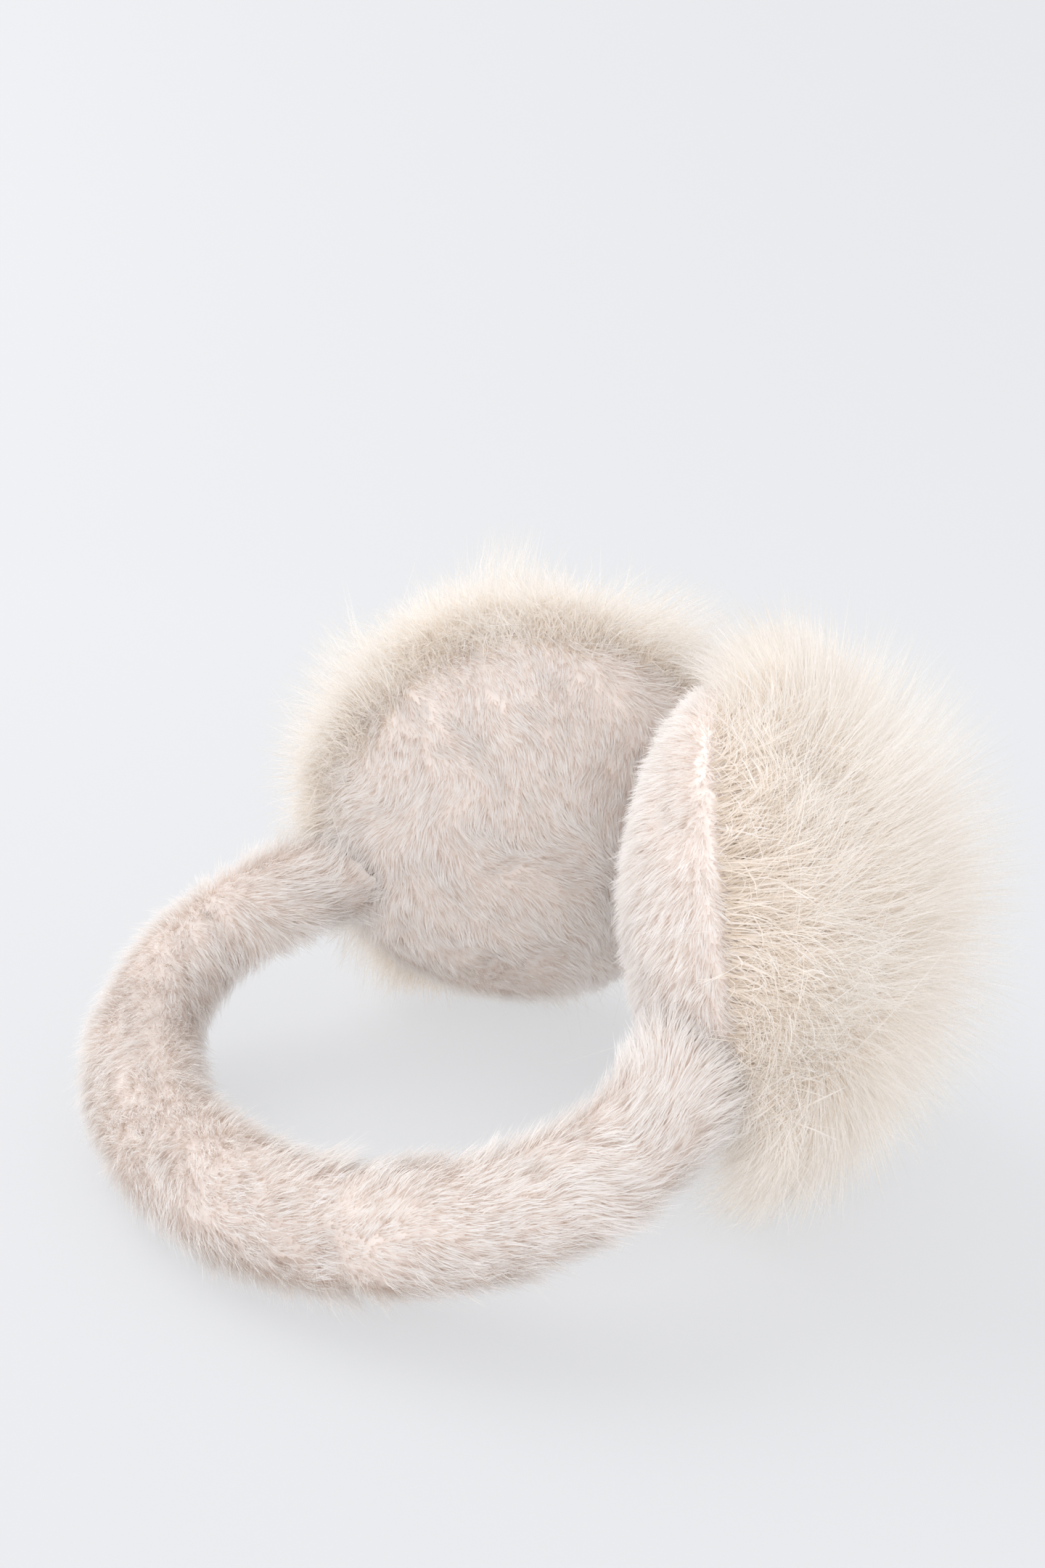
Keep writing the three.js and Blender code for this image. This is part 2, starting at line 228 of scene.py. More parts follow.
class Waves:
    """A smooth repeatable vector field: a sum of sine waves with a given typical wavelength."""

    def __init__(self, seed, wavelength, count=14):
        rng = np.random.default_rng(seed)
        self.direction = unit(rng.normal(size=(count, 3))) * (
            2 * math.pi / (wavelength * rng.uniform(0.6, 1.7, (count, 1)))
        )
        self.phase = rng.uniform(0, 2 * math.pi, (count, 3))
        self.share = unit(rng.normal(size=(count, 3))) * math.sqrt(2.0 / count)

    def __call__(self, p):
        angle = (p @ self.direction.T)[..., None] + self.phase
        return (np.sin(angle) * self.share).sum(-2)


# Blender helpers


def only(obj):
    """Selects this object alone and makes it active."""
    bpy.ops.object.select_all(action="DESELECT")
    obj.select_set(True)
    bpy.context.view_layer.objects.active = obj


def apply_modifiers(obj):
    only(obj)
    for modifier in list(obj.modifiers):
        bpy.ops.object.modifier_apply(modifier=modifier.name)


def coordinates(mesh):
    p = np.empty(len(mesh.vertices) * 3)
    mesh.vertices.foreach_get("co", p)
    return p.reshape(-1, 3)


def set_coordinates(mesh, p):
    mesh.vertices.foreach_set("co", p.astype(np.float32).ravel())
    mesh.update()


def smooth_faces(obj):
    only(obj)
    bpy.ops.object.shade_smooth()


# Padded forms


def padded_form(node, name, inset, cap, voxel=0.0035):
    """A padded copy of a solid: remeshed evenly, drawn in by the pile's height, and puffed out as cloth."""
    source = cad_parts[node]
    obj = bpy.data.objects.new(name, source.data.copy())
    bpy.context.scene.collection.objects.link(obj)
    obj.data.materials.clear()
    only(obj)
    bpy.ops.object.mode_set(mode="EDIT")
    bpy.ops.mesh.select_all(action="SELECT")
    bpy.ops.mesh.remove_doubles(threshold=1e-5)
    bpy.ops.mesh.normals_make_consistent(inside=False)
    bpy.ops.object.mode_set(mode="OBJECT")
    remesh = obj.modifiers.new("even", "REMESH")
    remesh.mode = "VOXEL"
    remesh.voxel_size = voxel
    shrink = obj.modifiers.new("draw in", "DISPLACE")
    shrink.strength = -inset
    shrink.mid_level = 0.0
    soften = obj.modifiers.new("soften", "SMOOTH")
    soften.factor = 0.5
    soften.iterations = 3
    apply_modifiers(obj)
    puff(obj, cap)
    finer = obj.modifiers.new("finer", "SUBSURF")
    finer.levels = finer.render_levels = 1
    apply_modifiers(obj)
    p = coordinates(obj.data)
    p[:, 2] = np.maximum(p[:, 2], 0.0006)
    set_coordinates(obj.data, p)
    smooth_faces(obj)
    return obj


def puff(obj, cap):
    """Inflates a closed form as cloth with pressure, and lets no point move farther than cap."""
    rest = coordinates(obj.data)
    cloth = obj.modifiers.new("cloth", "CLOTH")
    cloth.settings.quality = 5
    cloth.settings.use_pressure = True
    cloth.settings.uniform_pressure_force = 4.0
    cloth.settings.effector_weights.gravity = 0.0
    cloth.settings.tension_stiffness = 12.0
    cloth.settings.compression_stiffness = 12.0
    cloth.settings.bending_stiffness = 0.4
    for step in range(1, 21):
        bpy.context.scene.frame_set(step)
    apply_modifiers(obj)
    bpy.context.scene.frame_set(1)
    moved = coordinates(obj.data) - rest
    far = np.linalg.norm(moved, axis=1, keepdims=True)
    moved *= np.minimum(1.0, cap / np.maximum(far, 1e-9))
    set_coordinates(obj.data, rest + moved)


def backing_form(name, side):
    """The padded outer half of a pad: a flattened dome with its flat face at the seam."""
    bpy.ops.object.select_all(action="DESELECT")
    bpy.ops.mesh.primitive_uv_sphere_add(segments=64, ring_count=32, radius=1.0)
    obj = bpy.context.active_object
    obj.name = name
    bpy.ops.object.mode_set(mode="EDIT")
    bpy.ops.mesh.select_all(action="SELECT")
    bpy.ops.mesh.bisect(plane_co=(0, 0, 0), plane_no=(0, 0, 1), use_fill=True, clear_outer=True)
    bpy.ops.mesh.select_all(action="SELECT")
    bpy.ops.mesh.normals_make_consistent(inside=False)
    bpy.ops.object.mode_set(mode="OBJECT")
    p = coordinates(obj.data) * np.array(
        [PAD_LENGTH_RADIUS - 3 * BACKING_INSET, PAD_WIDTH_RADIUS - 3 * BACKING_INSET, BACKING_DEPTH]
    )
    p[:, 2] += 0.0006
    set_coordinates(obj.data, on_side(PAD.to_row(p), side))
    if side < 0:
        bpy.ops.object.mode_set(mode="EDIT")
        bpy.ops.mesh.select_all(action="SELECT")
        bpy.ops.mesh.flip_normals()
        bpy.ops.object.mode_set(mode="OBJECT")
    smooth_faces(obj)
    return obj


# Strands


def strands(name, paths, width, facing, tone, reach=1.0):
    """A mesh of thin tapering ribbons.

    paths is strand by node by xyz, width is per strand, facing is the way each ribbon's face looks, tone is 0 to 1 per
    strand, and reach is how far up the UV map the strand's end lies.
    """
    count, nodes, _ = paths.shape
    along = np.gradient(paths, axis=1)
    across = unit(np.cross(along, np.broadcast_to(facing[:, None], along.shape)))
    t = np.linspace(0.0, 1.0, nodes)
    taper = (1.0 - t[:-1]) ** 0.55
    half = 0.5 * width[:, None, None] * taper[None, :, None] * across[:, :-1]
    body = np.stack([paths[:, :-1] - half, paths[:, :-1] + half], axis=2).reshape(count, -1, 3)
    points = np.concatenate([body, paths[:, -1:]], axis=1)
    each = points.shape[1]
    quads = [[2 * i, 2 * i + 1, 2 * i + 3, 2 * i + 2] for i in range(nodes - 2)]
    tip = [2 * (nodes - 2), 2 * (nodes - 2) + 1, 2 * (nodes - 1)]
    loop_pattern = np.array(sum(quads, []) + tip)
    loops = (loop_pattern[None] + each * np.arange(count)[:, None]).ravel()
    sizes = np.array([4] * (nodes - 2) + [3])
    totals = np.tile(sizes, count)
    mesh = bpy.data.meshes.new(name)
    mesh.vertices.add(count * each)
    mesh.vertices.foreach_set("co", points.astype(np.float32).ravel())
    mesh.loops.add(len(loops))
    mesh.loops.foreach_set("vertex_index", loops.astype(np.int32))
    mesh.polygons.add(len(totals))
    mesh.polygons.foreach_set("loop_start", (np.cumsum(totals) - totals).astype(np.int32))
    mesh.update(calc_edges=True)
    column = np.floor(np.clip(tone, 0.0, 0.999) * TONE_COLUMNS) / TONE_COLUMNS
    left, right = column + 0.1 / TONE_COLUMNS, column + 0.9 / TONE_COLUMNS
    v = np.repeat(t, 2)[:-1] * reach
    u_of = np.where(np.arange(each) % 2 == 0, 0, 1)
    u = np.where(u_of[None] == 0, left[:, None], right[:, None])
    u[:, -1] = (left + right) / 2
    uv = np.stack([u, np.broadcast_to(v * 0.98 + 0.01, u.shape)], axis=-1).reshape(-1, 2)
    layer = mesh.uv_layers.new(name=UV_MAP)
    layer.data.foreach_set("uv", uv[loops].astype(np.float32).ravel())
    obj = bpy.data.objects.new(name, mesh)
    bpy.context.scene.collection.objects.link(obj)
    smooth_faces(obj)
    return obj


def surface_points(obj, count, rng):
    """Random points on an object's mesh, spread evenly over its area, with their smooth normals."""
    mesh = obj.data
    mesh.calc_loop_triangles()
    tri = np.empty(len(mesh.loop_triangles) * 3, dtype=np.int32)
    mesh.loop_triangles.foreach_get("vertices", tri)
    tri = tri.reshape(-1, 3)
    p = coordinates(mesh)
    n = np.empty(len(mesh.vertices) * 3)
    mesh.vertex_normals.foreach_get("vector", n)
    n = n.reshape(-1, 3)
    area = np.linalg.norm(np.cross(p[tri[:, 1]] - p[tri[:, 0]], p[tri[:, 2]] - p[tri[:, 0]]), axis=1)
    pick = rng.choice(len(tri), size=count, p=area / area.sum())
    a, b = rng.random((2, count))
    over = a + b > 1
    a[over], b[over] = 1 - a[over], 1 - b[over]
    weights = np.stack([1 - a - b, a, b], axis=1)[..., None]
    corners = tri[pick]
    return (p[corners] * weights).sum(1), unit((n[corners] * weights).sum(1))


def nearest(points, centres):
    """For each point, the number of the nearest centre."""
    best = np.empty(len(points), dtype=int)
    for start in range(0, len(points), 2000):
        part = points[start : start + 2000]
        best[start : start + 2000] = ((part[:, None] - centres[None]) ** 2).sum(-1).argmin(1)
    return best


def gathered(paths, group, amount):
    """Strands drawn to the first strand of their group, more towards the tip."""
    leaders = np.full(group.max() + 1, -1)
    leaders[group[::-1]] = np.arange(len(group))[::-1]
    t = np.linspace(0.0, 1.0, paths.shape[1])[None, :, None]
    lead = paths[leaders[group]]
    shift = (lead - lead[:, :1]) - (paths - paths[:, :1]) + (lead[:, :1] - paths[:, :1])
    return paths + shift * amount * t**1.2


def pile(name, base, count, length, lean, comb, seed, group_size, width=0.0002):
    """Short plush pile on a padded form.

    comb gives each root's combing direction, how far it is turned from there, and the pile's length there as a
    share, which is 0 where none grows. lean is from upright, in radians.
    """
    rng = np.random.default_rng(seed)
    root, normal = surface_points(base, count, rng)
    wish, turned, share = comb(root)
    keep = share > 0
    root, normal, wish, turned, share = (part[keep] for part in (root, normal, wish, turned, share))
    count = len(root)
    flow = unit(wish - normal * (wish * normal).sum(1, keepdims=True))
    flow = flow * np.cos(turned)[:, None] + np.cross(normal, flow) * np.sin(turned)[:, None]
    flow = unit(flow + rng.normal(scale=0.2, size=flow.shape))
    patch = Waves(seed + 5, 0.013)(root)[:, :1]
    tilt = np.clip(lean + 0.12 * patch + rng.normal(scale=0.13, size=(count, 1)), 0.2, 1.4)
    size = length * share[:, None] * rng.uniform(0.7, 1.15, (count, 1))
    t = np.linspace(0.0, 1.0, PILE_NODES)[None, :, None]
    start, end = tilt[:, None] * 0.45, tilt[:, None] * 1.18
    turn = start + (end - start) * t
    step = np.cos(turn) * normal[:, None] + np.sin(turn) * flow[:, None]
    step = step * size[:, None] / (PILE_NODES - 1)
    paths = root[:, None] + np.concatenate([np.zeros((count, 1, 3)), np.cumsum(step[:, 1:], axis=1)], axis=1)
    centres = root[rng.choice(count, size=max(count // group_size, 1), replace=False)]
    group = nearest(root, centres)
    paths = gathered(paths, group, 0.34)
    paths[..., 2] = np.maximum(paths[..., 2], 0.0003)
    group_tone = rng.normal(scale=0.16, size=group.max() + 1)
    tone = np.clip(0.5 + group_tone[group] + rng.normal(scale=0.13, size=count), 0.02, 0.98)
    widths = width * rng.uniform(0.8, 1.25, count)
    return strands(name, paths, widths, normal + rng.normal(scale=0.2, size=normal.shape), tone)


def backing_point(x, y):
    """A point on the backing's dome, from its place in the disc of radius 1."""
    out2 = np.clip(x * x + y * y, 0.0, 1.0)
    return np.stack(
        [
            (PAD_LENGTH_RADIUS - BACKING_INSET) * x,
            (PAD_WIDTH_RADIUS - BACKING_INSET) * y,
            -PIECE_GAP - BACKING_DEPTH * np.sqrt(1.0 - out2),
        ],
        axis=-1,
    )


def hair_curve(x, y, length, swing, lean, seat, nodes, reach, combing):
    """The path of each hair in the right pad's frame, as a lock of the solid model takes it.

    lean is added to the spread of each. seat is how high its root sits on the cushion's edge, as a share.
    """
    out = np.sqrt(x * x + y * y)
    angle = np.arctan2(y, x) + swing
    facing = [np.maximum(np.cos(angle - row[0]), 0.0) ** 2 for row in combing]
    combed = 1.0 - sum(row[1] * near for row, near in zip(combing, facing))
    length = length * (1.0 + sum(row[3] * near for row, near in zip(combing, facing)))
    height = seat * (0.0016 + sum(row[2] * near for row, near in zip(combing, facing)))
    rise = np.arcsin(np.clip(height / CUSHION_DEPTH, 0, 1) ** (CUSHION_FULLNESS / 2))
    edge = np.cos(rise) ** (2 / CUSHION_FULLNESS)
    drawn_in = SEAM_PULL * (1 - ease(height / SEAM_PULL_DEPTH)) + PILE_INSET
    seated = np.stack(
        [
            (PAD_LENGTH_RADIUS * edge - drawn_in) * np.cos(angle),
            (PAD_WIDTH_RADIUS * edge - drawn_in) * np.sin(angle),
            height - 0.0008,
        ],
        axis=-1,
    )
    root = np.where((seat > 0)[:, None], seated, backing_point(x, y))
    spread = FUR_SPREAD * np.clip(out, 0.0, 1.0) ** 0.92 * combed + lean
    raised = 0.5 + 0.5 * (PAD.table_up[0] * np.cos(angle) + PAD.table_up[1] * np.sin(angle))
    overhang = FUR_OVERHANG_BOTTOM + (FUR_OVERHANG_TOP - FUR_OVERHANG_BOTTOM) * raised
    tip = np.stack(
        [
            (PAD_LENGTH_RADIUS + overhang) * np.sin(spread) * np.cos(angle),
            (PAD_WIDTH_RADIUS + overhang) * np.sin(spread) * np.sin(angle),
            -FUR_DEPTH * np.cos(spread),
        ],
        axis=-1,
    )
    tip = root + (tip - root) * length[:, None] + PAD.table_up * (FUR_LEAN * (2 * raised - 1))[:, None]
    tip = tip + PAD.table_up * [1.0, 1.0, 0.0] * (FUR_NAP * np.clip(1.0 - out**2, 0.0, 1.0))[:, None]
    leave = np.stack([root[:, 0], root[:, 1], -1.6 * BACKING_DEPTH - 0.3 * FUR_DEPTH * (1 - out)], axis=-1)
    bend = 0.82 * (root + (tip - root) * 0.55) + 0.18 * leave
    t = np.linspace(0.0, reach, nodes)[None, :, None]
    return (1 - t) ** 2 * root[:, None] + 2 * t * (1 - t) * bend[:, None] + t**2 * tip[:, None]


def disc_points(count, rng, edge=1.0):
    """Random places in a disc, spread evenly."""
    out = np.sqrt(rng.random(count)) * edge
    angle = rng.uniform(0, 2 * math.pi, count)
    return out * np.cos(angle), out * np.sin(angle)


BAND_MIDDLES = band_line(np.linspace(-BAND_SWEEP, BAND_SWEEP, 240))


def clear_of_band(paths, radius):
    """True for each strand that doesn't run through the headband."""
    keep = np.ones(len(paths), dtype=bool)
    for start in range(0, len(paths), 1500):
        part = paths[start : start + 1500, 1:]
        gap = np.linalg.norm(part[:, :, None] - BAND_MIDDLES[None, None], axis=-1).min((1, 2))
        keep[start : start + 1500] = gap > radius
    return keep


def fur(name, pad, count, nodes, reach, width, groups, gather, wander, seed):
    """Long hair on a pad's backing. A share of it grows right at the seam and hides it."""
    rng = np.random.default_rng(seed)

    def roots(number, spread_noise, length_noise):
        x, y = disc_points(number, rng)
        central = np.clip(1.0 - np.hypot(x, y) / 0.6, 0.0, 1.0)
        lean = rng.normal(0.0, spread_noise, number) + central * rng.normal(0.0, 0.22, number)
        unsettled = central * rng.normal(0.0, 0.8, number)
        length = np.clip(rng.normal(0.92, length_noise, number), 0.7, 1.03)
        rim = rng.random(number) < pad["rim_share"]
        turn = rng.uniform(0, 2 * math.pi, number)
        out = rng.uniform(0.96, 1.0, number)
        x, y = np.where(rim, out * np.cos(turn), x), np.where(rim, out * np.sin(turn), y)
        lean = np.where(rim, rng.uniform(*pad["rim_lean"], number), lean)
        seat = np.where(rim, rng.uniform(0.01, 1.0, number), 0.0)
        length = np.where(rim, rng.uniform(0.5, 0.88, number) * (1.0 - 0.3 * seat), length)
        return x, y, lean, length, seat, np.where(rim, 0.0, unsettled)

    x, y, lean, length, seat, unsettled = roots(count, 0.1, 0.07)
    stray = rng.random(count) < 0.1
    lean = lean + stray * rng.normal(0.0, 0.3, count)
    swing = rng.normal(0.0, 0.14, count) + stray * rng.normal(0.0, 0.5, count) + unsettled
    own = PAD.to_row(hair_curve(x, y, length, swing, lean, seat, nodes, reach, pad["combing"]))
    cx, cy, lead_lean, lead_length, lead_seat, lead_unsettled = roots(groups, 0.2, 0.11)
    lead_swing = rng.normal(0.0, 0.27, groups) + lead_unsettled
    lead = hair_curve(cx, cy, lead_length, lead_swing, lead_lean, lead_seat, nodes, reach, pad["combing"])
    lead = PAD.to_row(lead)
    t = np.linspace(0.0, reach, nodes)[None, :, None]
    clump = nearest(np.stack([cx, cy], 1), np.stack([cx, cy], 1)[:CLUMPS])
    lead = lead + (lead[clump] - lead) * CLUMP_GATHER * t**1.3
    group = nearest(np.stack([x, y], 1), np.stack([cx, cy], 1))
    weight = gather * t**1.1 * (1 - stray)[:, None, None]
    paths = own * (1 - weight) + lead[group] * weight
    swirl = Waves(seed + 11, 0.034)
    fine = Waves(seed + 12, 0.011)
    root = own[:, :1]
    paths = paths + swirl(root) * wander * t**1.4 + fine(root) * wander * 0.16 * t**1.6
    paths = paths + rng.normal(scale=0.0009, size=(count, 1, 3)) * t**1.5
    low = paths[..., 2] < 0.0006
    paths[..., 2] = np.where(low, 0.0004 + 0.0012 * rng.random(paths.shape[:2]), paths[..., 2])
    paths[..., 0] = np.maximum(paths[..., 0], CROWN[0] + PAIR_GAP / 2 + 0.0004)
    keep = clear_of_band(paths, BAND_RADIUS - 0.001)
    paths, group, x, y = paths[keep], group[keep], x[keep], y[keep]
    count = len(paths)
    facing = unit(paths[:, -1] - PAD.centre) + rng.normal(scale=0.55, size=(count, 3))
    group_tone = rng.normal(scale=0.14, size=groups)
    tone = np.clip(0.5 + group_tone[group] + rng.normal(scale=0.15, size=count), 0.02, 0.98)
    coarse = rng.random(count) < 0.12
    tone = np.where(coarse, 0.99, tone)
    paths = on_side(paths, pad["side"])
    facing = facing * np.array([pad["side"], 1.0, 1.0])
    widths = width * rng.uniform(0.7, 1.3, count) * np.where(coarse, 1.5, 1.0)
    return strands(name, paths, widths, facing, tone, reach)


# Materials


def new_material(name):
    material = bpy.data.materials.new(name)
    material.use_nodes = True
    nodes = material.node_tree.nodes
    nodes.clear()
    return material, nodes, material.node_tree.links


def ramp(nodes, stops):
    """A colour ramp from a list of (place, colour)."""
    node = nodes.new("ShaderNodeValToRGB")
    elements = node.color_ramp.elements
    while len(elements) < len(stops):
        elements.new(0.5)
    for element, (place, colour) in zip(elements, stops):
        element.position = place
        element.color = (*colour, 1.0)
    return node


def hair_material(name, root_to_tip, tones, translucent, painted_glow=0.0):
    """Colour from root to tip, times the strand's own tone. The glow is painted light: an even cream emission that
    stands in for the light dense hair passes on.
    """
    material, nodes, links = new_material(name)
    uv = nodes.new("ShaderNodeUVMap")
    uv.uv_map = UV_MAP
    split = nodes.new("ShaderNodeSeparateXYZ")
    links.new(uv.outputs["UV"], split.inputs[0])
    length_ramp = ramp(nodes, root_to_tip)
    tone_ramp = ramp(nodes, tones)
    links.new(split.outputs["Y"], length_ramp.inputs["Fac"])
    links.new(split.outputs["X"], tone_ramp.inputs["Fac"])
    mix = nodes.new("ShaderNodeMix")
    mix.data_type = "RGBA"
    mix.blend_type = "MULTIPLY"
    mix.inputs["Factor"].default_value = 1.0
    links.new(length_ramp.outputs["Color"], mix.inputs[6])
    links.new(tone_ramp.outputs["Color"], mix.inputs[7])
    shader = nodes.new("ShaderNodeBsdfPrincipled")
    shader.inputs["Roughness"].default_value = 0.62
    shader.inputs["Specular IOR Level"].default_value = 0.25
    shader.inputs["Emission Color"].default_value = (1.0, 0.945, 0.89, 1.0)
    shader.inputs["Emission Strength"].default_value = painted_glow
    links.new(mix.outputs[2], shader.inputs["Base Color"])
    through = nodes.new("ShaderNodeBsdfTranslucent")
    links.new(mix.outputs[2], through.inputs["Color"])
    both = nodes.new("ShaderNodeMixShader")
    both.inputs["Fac"].default_value = translucent
    links.new(shader.outputs[0], both.inputs[1])
    links.new(through.outputs[0], both.inputs[2])
    output = nodes.new("ShaderNodeOutputMaterial")
    links.new(both.outputs[0], output.inputs["Surface"])
    return material


def ground_material(name, low, high, scale):
    """The cloth under the pile: mottled, rough and soft-edged."""
    material, nodes, links = new_material(name)
    place = nodes.new("ShaderNodeTexCoord")
    noise = nodes.new("ShaderNodeTexNoise")
    noise.inputs["Scale"].default_value = scale
    noise.inputs["Detail"].default_value = 5.0
    links.new(place.outputs["Object"], noise.inputs["Vector"])
    colours = ramp(nodes, [(0.35, low), (0.65, high)])
    links.new(noise.outputs["Fac"], colours.inputs["Fac"])
    bump = nodes.new("ShaderNodeBump")
    bump.inputs["Strength"].default_value = 0.5
    bump.inputs["Distance"].default_value = 0.001
    links.new(noise.outputs["Fac"], bump.inputs["Height"])
    shader = nodes.new("ShaderNodeBsdfPrincipled")
    shader.inputs["Roughness"].default_value = 0.95
    links.new(colours.outputs["Color"], shader.inputs["Base Color"])
    links.new(bump.outputs["Normal"], shader.inputs["Normal"])
    output = nodes.new("ShaderNodeOutputMaterial")
    links.new(shader.outputs[0], output.inputs["Surface"])
    return material


# Colours, linear

PLUSH_TONES = [(0.0, (0.88, 0.87, 0.86)), (0.5, (0.98, 0.98, 0.98)), (1.0, (1.0, 1.0, 1.0))]
FUR_TONES = [(0.0, (0.86, 0.81, 0.74)), (0.5, (0.98, 0.972, 0.96)), (1.0, (1.0, 1.0, 1.0))]
PLUSH_ROOT_TO_TIP = [
    (0.0, (0.865, 0.765, 0.695)),
    (0.5, (0.975, 0.95, 0.93)),
    (1.0, (0.995, 0.987, 0.981)),
]
# The guard hair darkens towards its tips: painted shade that holds down tips lit from behind by the window and lifted
# by the painted glow.
GUARD_ROOT_TO_TIP = [
    (0.0, (0.89, 0.81, 0.72)),
    (0.1, (0.96, 0.912, 0.86)),
    (0.45, (0.992, 0.972, 0.95)),
    (0.75, (0.96, 0.943, 0.922)),
    (1.0, (0.85, 0.83, 0.806)),
]
UNDERCOAT_ROOT_TO_TIP = [
    (0.0, (0.87, 0.79, 0.69)),
    (0.14, (0.955, 0.905, 0.85)),
    (0.6, (0.99, 0.96, 0.93)),
    (1.0, (0.995, 0.975, 0.952)),
]


def along_band(p):
    """The angle from the crown at which points lie, and the way the headband runs there."""
    flat = p - CROWN
    x, away = flat @ BAND_ACROSS, flat @ BAND_AWAY
    angle = np.arctan2(x / BAND_HALF_WIDTH, 1.0 - away / BAND_DEPTH)
    across = np.cos(angle)[:, None] * BAND_HALF_WIDTH * BAND_ACROSS
    return angle, unit(across + np.sin(angle)[:, None] * BAND_DEPTH * BAND_AWAY)


def in_cushion(p, grow):
    """True for points inside either cushion, grown by a length."""
    inside = np.zeros(len(p), dtype=bool)
    for side in (1, -1):
        x, y, height = PAD.from_row(on_side(p, side)).T
        out = np.hypot(x / (PAD_LENGTH_RADIUS + grow), y / (PAD_WIDTH_RADIUS + grow))
        rise = np.maximum(height, 0.0) / (CUSHION_DEPTH + grow)
        inside |= (out**CUSHION_FULLNESS + rise**CUSHION_FULLNESS < 1.0) & (height > -0.002)
    return inside


def meet_pads(base):
    """Draws the ends of the padded headband up to the padded cushions."""
    p = coordinates(base.data)
    angle, along = along_band(p)
    reach = 0.0042 * ease((np.abs(angle) - math.radians(82)) / math.radians(18)) * np.sign(angle)
    set_coordinates(base.data, p + reach[:, None] * along)


def band_comb(root):
    """The pile on the headband lies along it in waves, and runs on over the seam and on to the pads."""
    angle, along = along_band(root)
    turned = Waves(5, 0.034)(root)[:, 0] * 0.8 + Waves(6, 0.01)(root)[:, 1] * 0.3
    turned = turned + math.pi * ease((-angle - math.radians(76)) / math.radians(20))
    seam = (2 * BAND_SEAM_PLACE - 1) * BAND_SWEEP
    before = (seam - angle) * BAND_HALF_WIDTH
    share = 1.0 + 0.5 * np.exp(-(((before - 0.003) / 0.003) ** 2)) - 0.6 * np.exp(-(((before + 0.002) / 0.002) ** 2))
    share = share * (1.0 + 0.3 * ease((np.abs(angle) - math.radians(88)) / math.radians(14)))
    return along, turned, np.where(in_cushion(root, 0.0), 0.0, share)


def cushion_comb(seed, swirl, side):
    """The pile on a cushion lies down and away from the headband and swirls, and at the seam it lies over the fur."""
    wide, fine = Waves(seed, 0.05), Waves(seed + 1, 0.014)
    outwards = on_side(-PAD.axes[2], side) - on_side(np.zeros(3), side)

    def comb(root):
        x, y, height = PAD.from_row(on_side(root, side)).T
        out = np.hypot(x / PAD_LENGTH_RADIUS, y / PAD_WIDTH_RADIUS)
        hidden = (height < 0.0014) | ((height < 0.0036) & (out < 0.84))
        over = 1.0 - ease((height - 0.0015) / 0.009)
        turned = (wide(root)[:, 0] * 1.4 + fine(root)[:, 1] * 0.6) * swirl * (1.0 - 0.7 * over)
        flow = (1.0 - over)[:, None] * np.array([0.0, 0.5, -0.7]) + over[:, None] * outwards
        return flow, turned, np.where(hidden, 0.0, 1.0 - 0.1 * over)

    return comb


# The object

plush_ground = ground_material("plush_ground", (0.86, 0.775, 0.725), (0.92, 0.86, 0.82), 160.0)
plush_pile = hair_material("plush_pile", PLUSH_ROOT_TO_TIP, PLUSH_TONES, 0.45)
fur_ground = ground_material("fur_ground", (0.84, 0.76, 0.67), (0.91, 0.85, 0.78), 140.0)
# Both fur materials glow a little: painted light that lifts the hair's shaded depths.
guard_hair = hair_material("guard_hair", GUARD_ROOT_TO_TIP, FUR_TONES, 0.5, 0.061)
undercoat_hair = hair_material("undercoat_hair", UNDERCOAT_ROOT_TO_TIP, FUR_TONES, 0.5, 0.061)


def belongs(obj, node, material):
    """Gives a piece its material, hangs it from the root body, and hides the solid it stands for."""
    obj.data.materials.clear()
    obj.data.materials.append(material)
    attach(obj, "root")
    if node:
        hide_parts(node)


def make_headband():
    base = padded_form("headband", "headband_padding", PILE_INSET, 0.0008)
    meet_pads(base)
    belongs(base, "headband", plush_ground)
    nap = pile("headband_pile", base, BAND_PILE_COUNT, 0.0074, 1.02, band_comb, 21, 30)
    belongs(nap, "headband", plush_pile)


def make_pad(pad):
    node = "ear_cushion_" + pad["word"]
    seed = pad["seed"]
    base = padded_form(node, node + "_padding", PILE_INSET, 0.0009)
    belongs(base, node, plush_ground)
    comb = cushion_comb(seed, pad["swirl"], pad["side"])
    nap = pile(node + "_pile", base, CUSHION_PILE_COUNT, 0.0058, 1.0, comb, seed + 2, 30)
    belongs(nap, node, plush_pile)
    node = "fur_cover_" + pad["word"]
    backing = backing_form(node + "_backing", pad["side"])
    belongs(backing, node, fur_ground)
    undercoat = fur(
        node + "_undercoat", pad, UNDERCOAT_COUNT, UNDERCOAT_NODES, 0.74, 0.00032, 420, 0.34, 0.005, seed + 3
    )
    belongs(undercoat, node, undercoat_hair)
    guard = fur(node + "_guard_hair", pad, GUARD_COUNT, HAIR_NODES, 1.0, 0.00017, 800, 0.38, 0.0055, seed + 4)
    belongs(guard, node, guard_hair)


# Floor and light


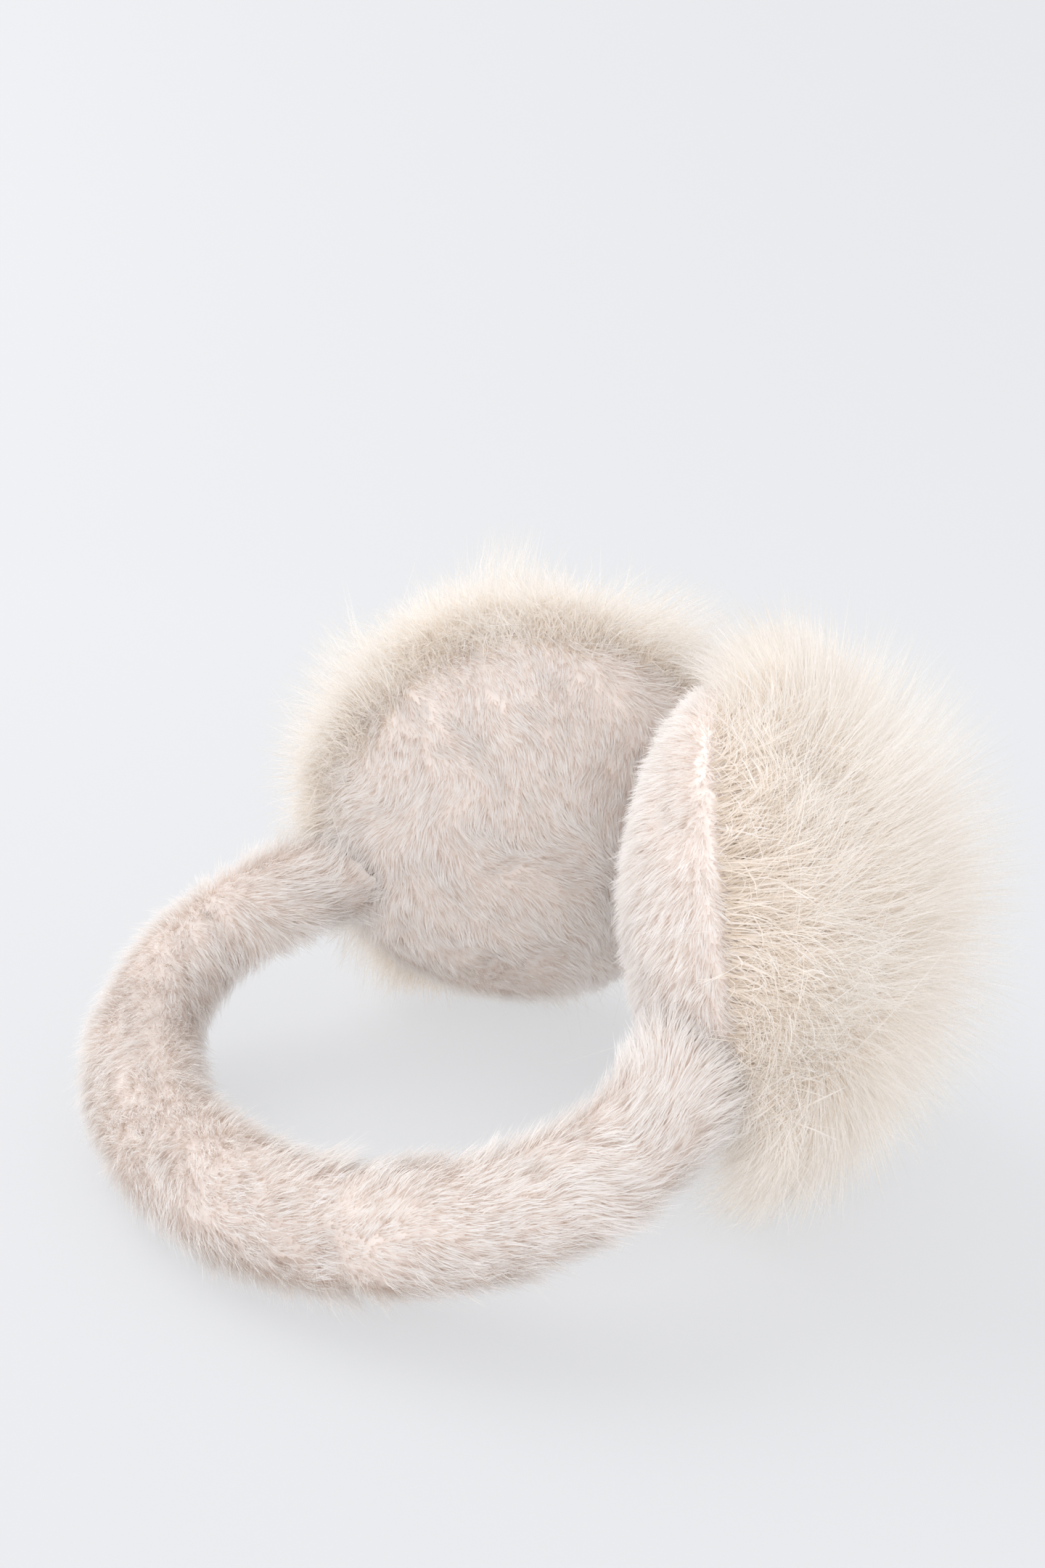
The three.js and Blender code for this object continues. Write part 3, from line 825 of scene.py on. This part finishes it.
def make_floor(back, level):
    """A pale floor that curves up behind the object. It glows a little, as a lit table does."""
    bpy.ops.object.select_all(action="DESELECT")
    bpy.ops.mesh.primitive_grid_add(x_subdivisions=2, y_subdivisions=96, size=1.0)
    floor = bpy.context.active_object
    floor.name = "floor"
    p = coordinates(floor.data)
    run = (p[:, 1] + 0.5) * 3.2 - 1.2
    radius, start = 0.9, 0.55
    beyond = np.maximum(run - start, 0.0)
    turn = np.minimum(beyond / radius, math.pi / 2)
    forward = np.minimum(run, start) + radius * np.sin(turn)
    height = radius * (1 - np.cos(turn)) + np.maximum(beyond - radius * math.pi / 2, 0.0)
    away = np.array([-back.x, -back.y, 0.0])
    away /= np.linalg.norm(away)
    side = np.array([level.x, level.y, 0.0])
    p = p[:, :1] * 5.0 * side + forward[:, None] * away + height[:, None] * np.array([0, 0, 1.0])
    set_coordinates(floor.data, p)
    smooth_faces(floor)
    material, nodes, links = new_material("floor")
    shader = nodes.new("ShaderNodeBsdfPrincipled")
    shader.inputs["Base Color"].default_value = (0.2, 0.203, 0.21, 1.0)
    shader.inputs["Roughness"].default_value = 0.7
    shader.inputs["Emission Color"].default_value = (0.97, 0.98, 1.0, 1.0)
    shader.inputs["Emission Strength"].default_value = 0.558
    output = nodes.new("ShaderNodeOutputMaterial")
    links.new(shader.outputs[0], output.inputs["Surface"])
    floor.data.materials.append(material)


def area_light(name, at, towards, size, power, colour):
    data = bpy.data.lights.new(name, "AREA")
    data.shape = "DISK"
    data.size = size
    data.energy = power
    data.color = colour
    lamp = bpy.data.objects.new(name, data)
    bpy.context.scene.collection.objects.link(lamp)
    lamp.location = at
    lamp.rotation_mode = "QUATERNION"
    lamp.rotation_quaternion = (towards - at).to_track_quat("-Z", "Y")


def make_light(back, level):
    """A large soft window up on the left, and a bright even room."""
    bpy.context.scene.view_settings.view_transform = "Standard"
    middle = Vector((0.0, 0.02, 0.05))
    up = Vector((0, 0, 1))
    flat_back = Vector((back.x, back.y, 0)).normalized()
    area_light("window", middle - level * 1.5 + up * 1.7 - flat_back * 0.7, middle, 2.0, 24.0, (1.0, 0.985, 0.97))
    area_light("fill", middle - level * 0.2 + up * 0.9 + flat_back * 2.2, middle, 2.2, 20.0, (1.0, 0.985, 0.975))
    world = bpy.data.worlds.new("room")
    world.use_nodes = True
    background = world.node_tree.nodes["Background"]
    background.inputs["Color"].default_value = (0.96, 0.97, 1.0, 1.0)
    background.inputs["Strength"].default_value = 0.95
    bpy.context.scene.world = world


back, level = make_camera()
make_floor(back, level)
make_light(back, level)
make_headband()
for pad in PADS:
    make_pad(pad)
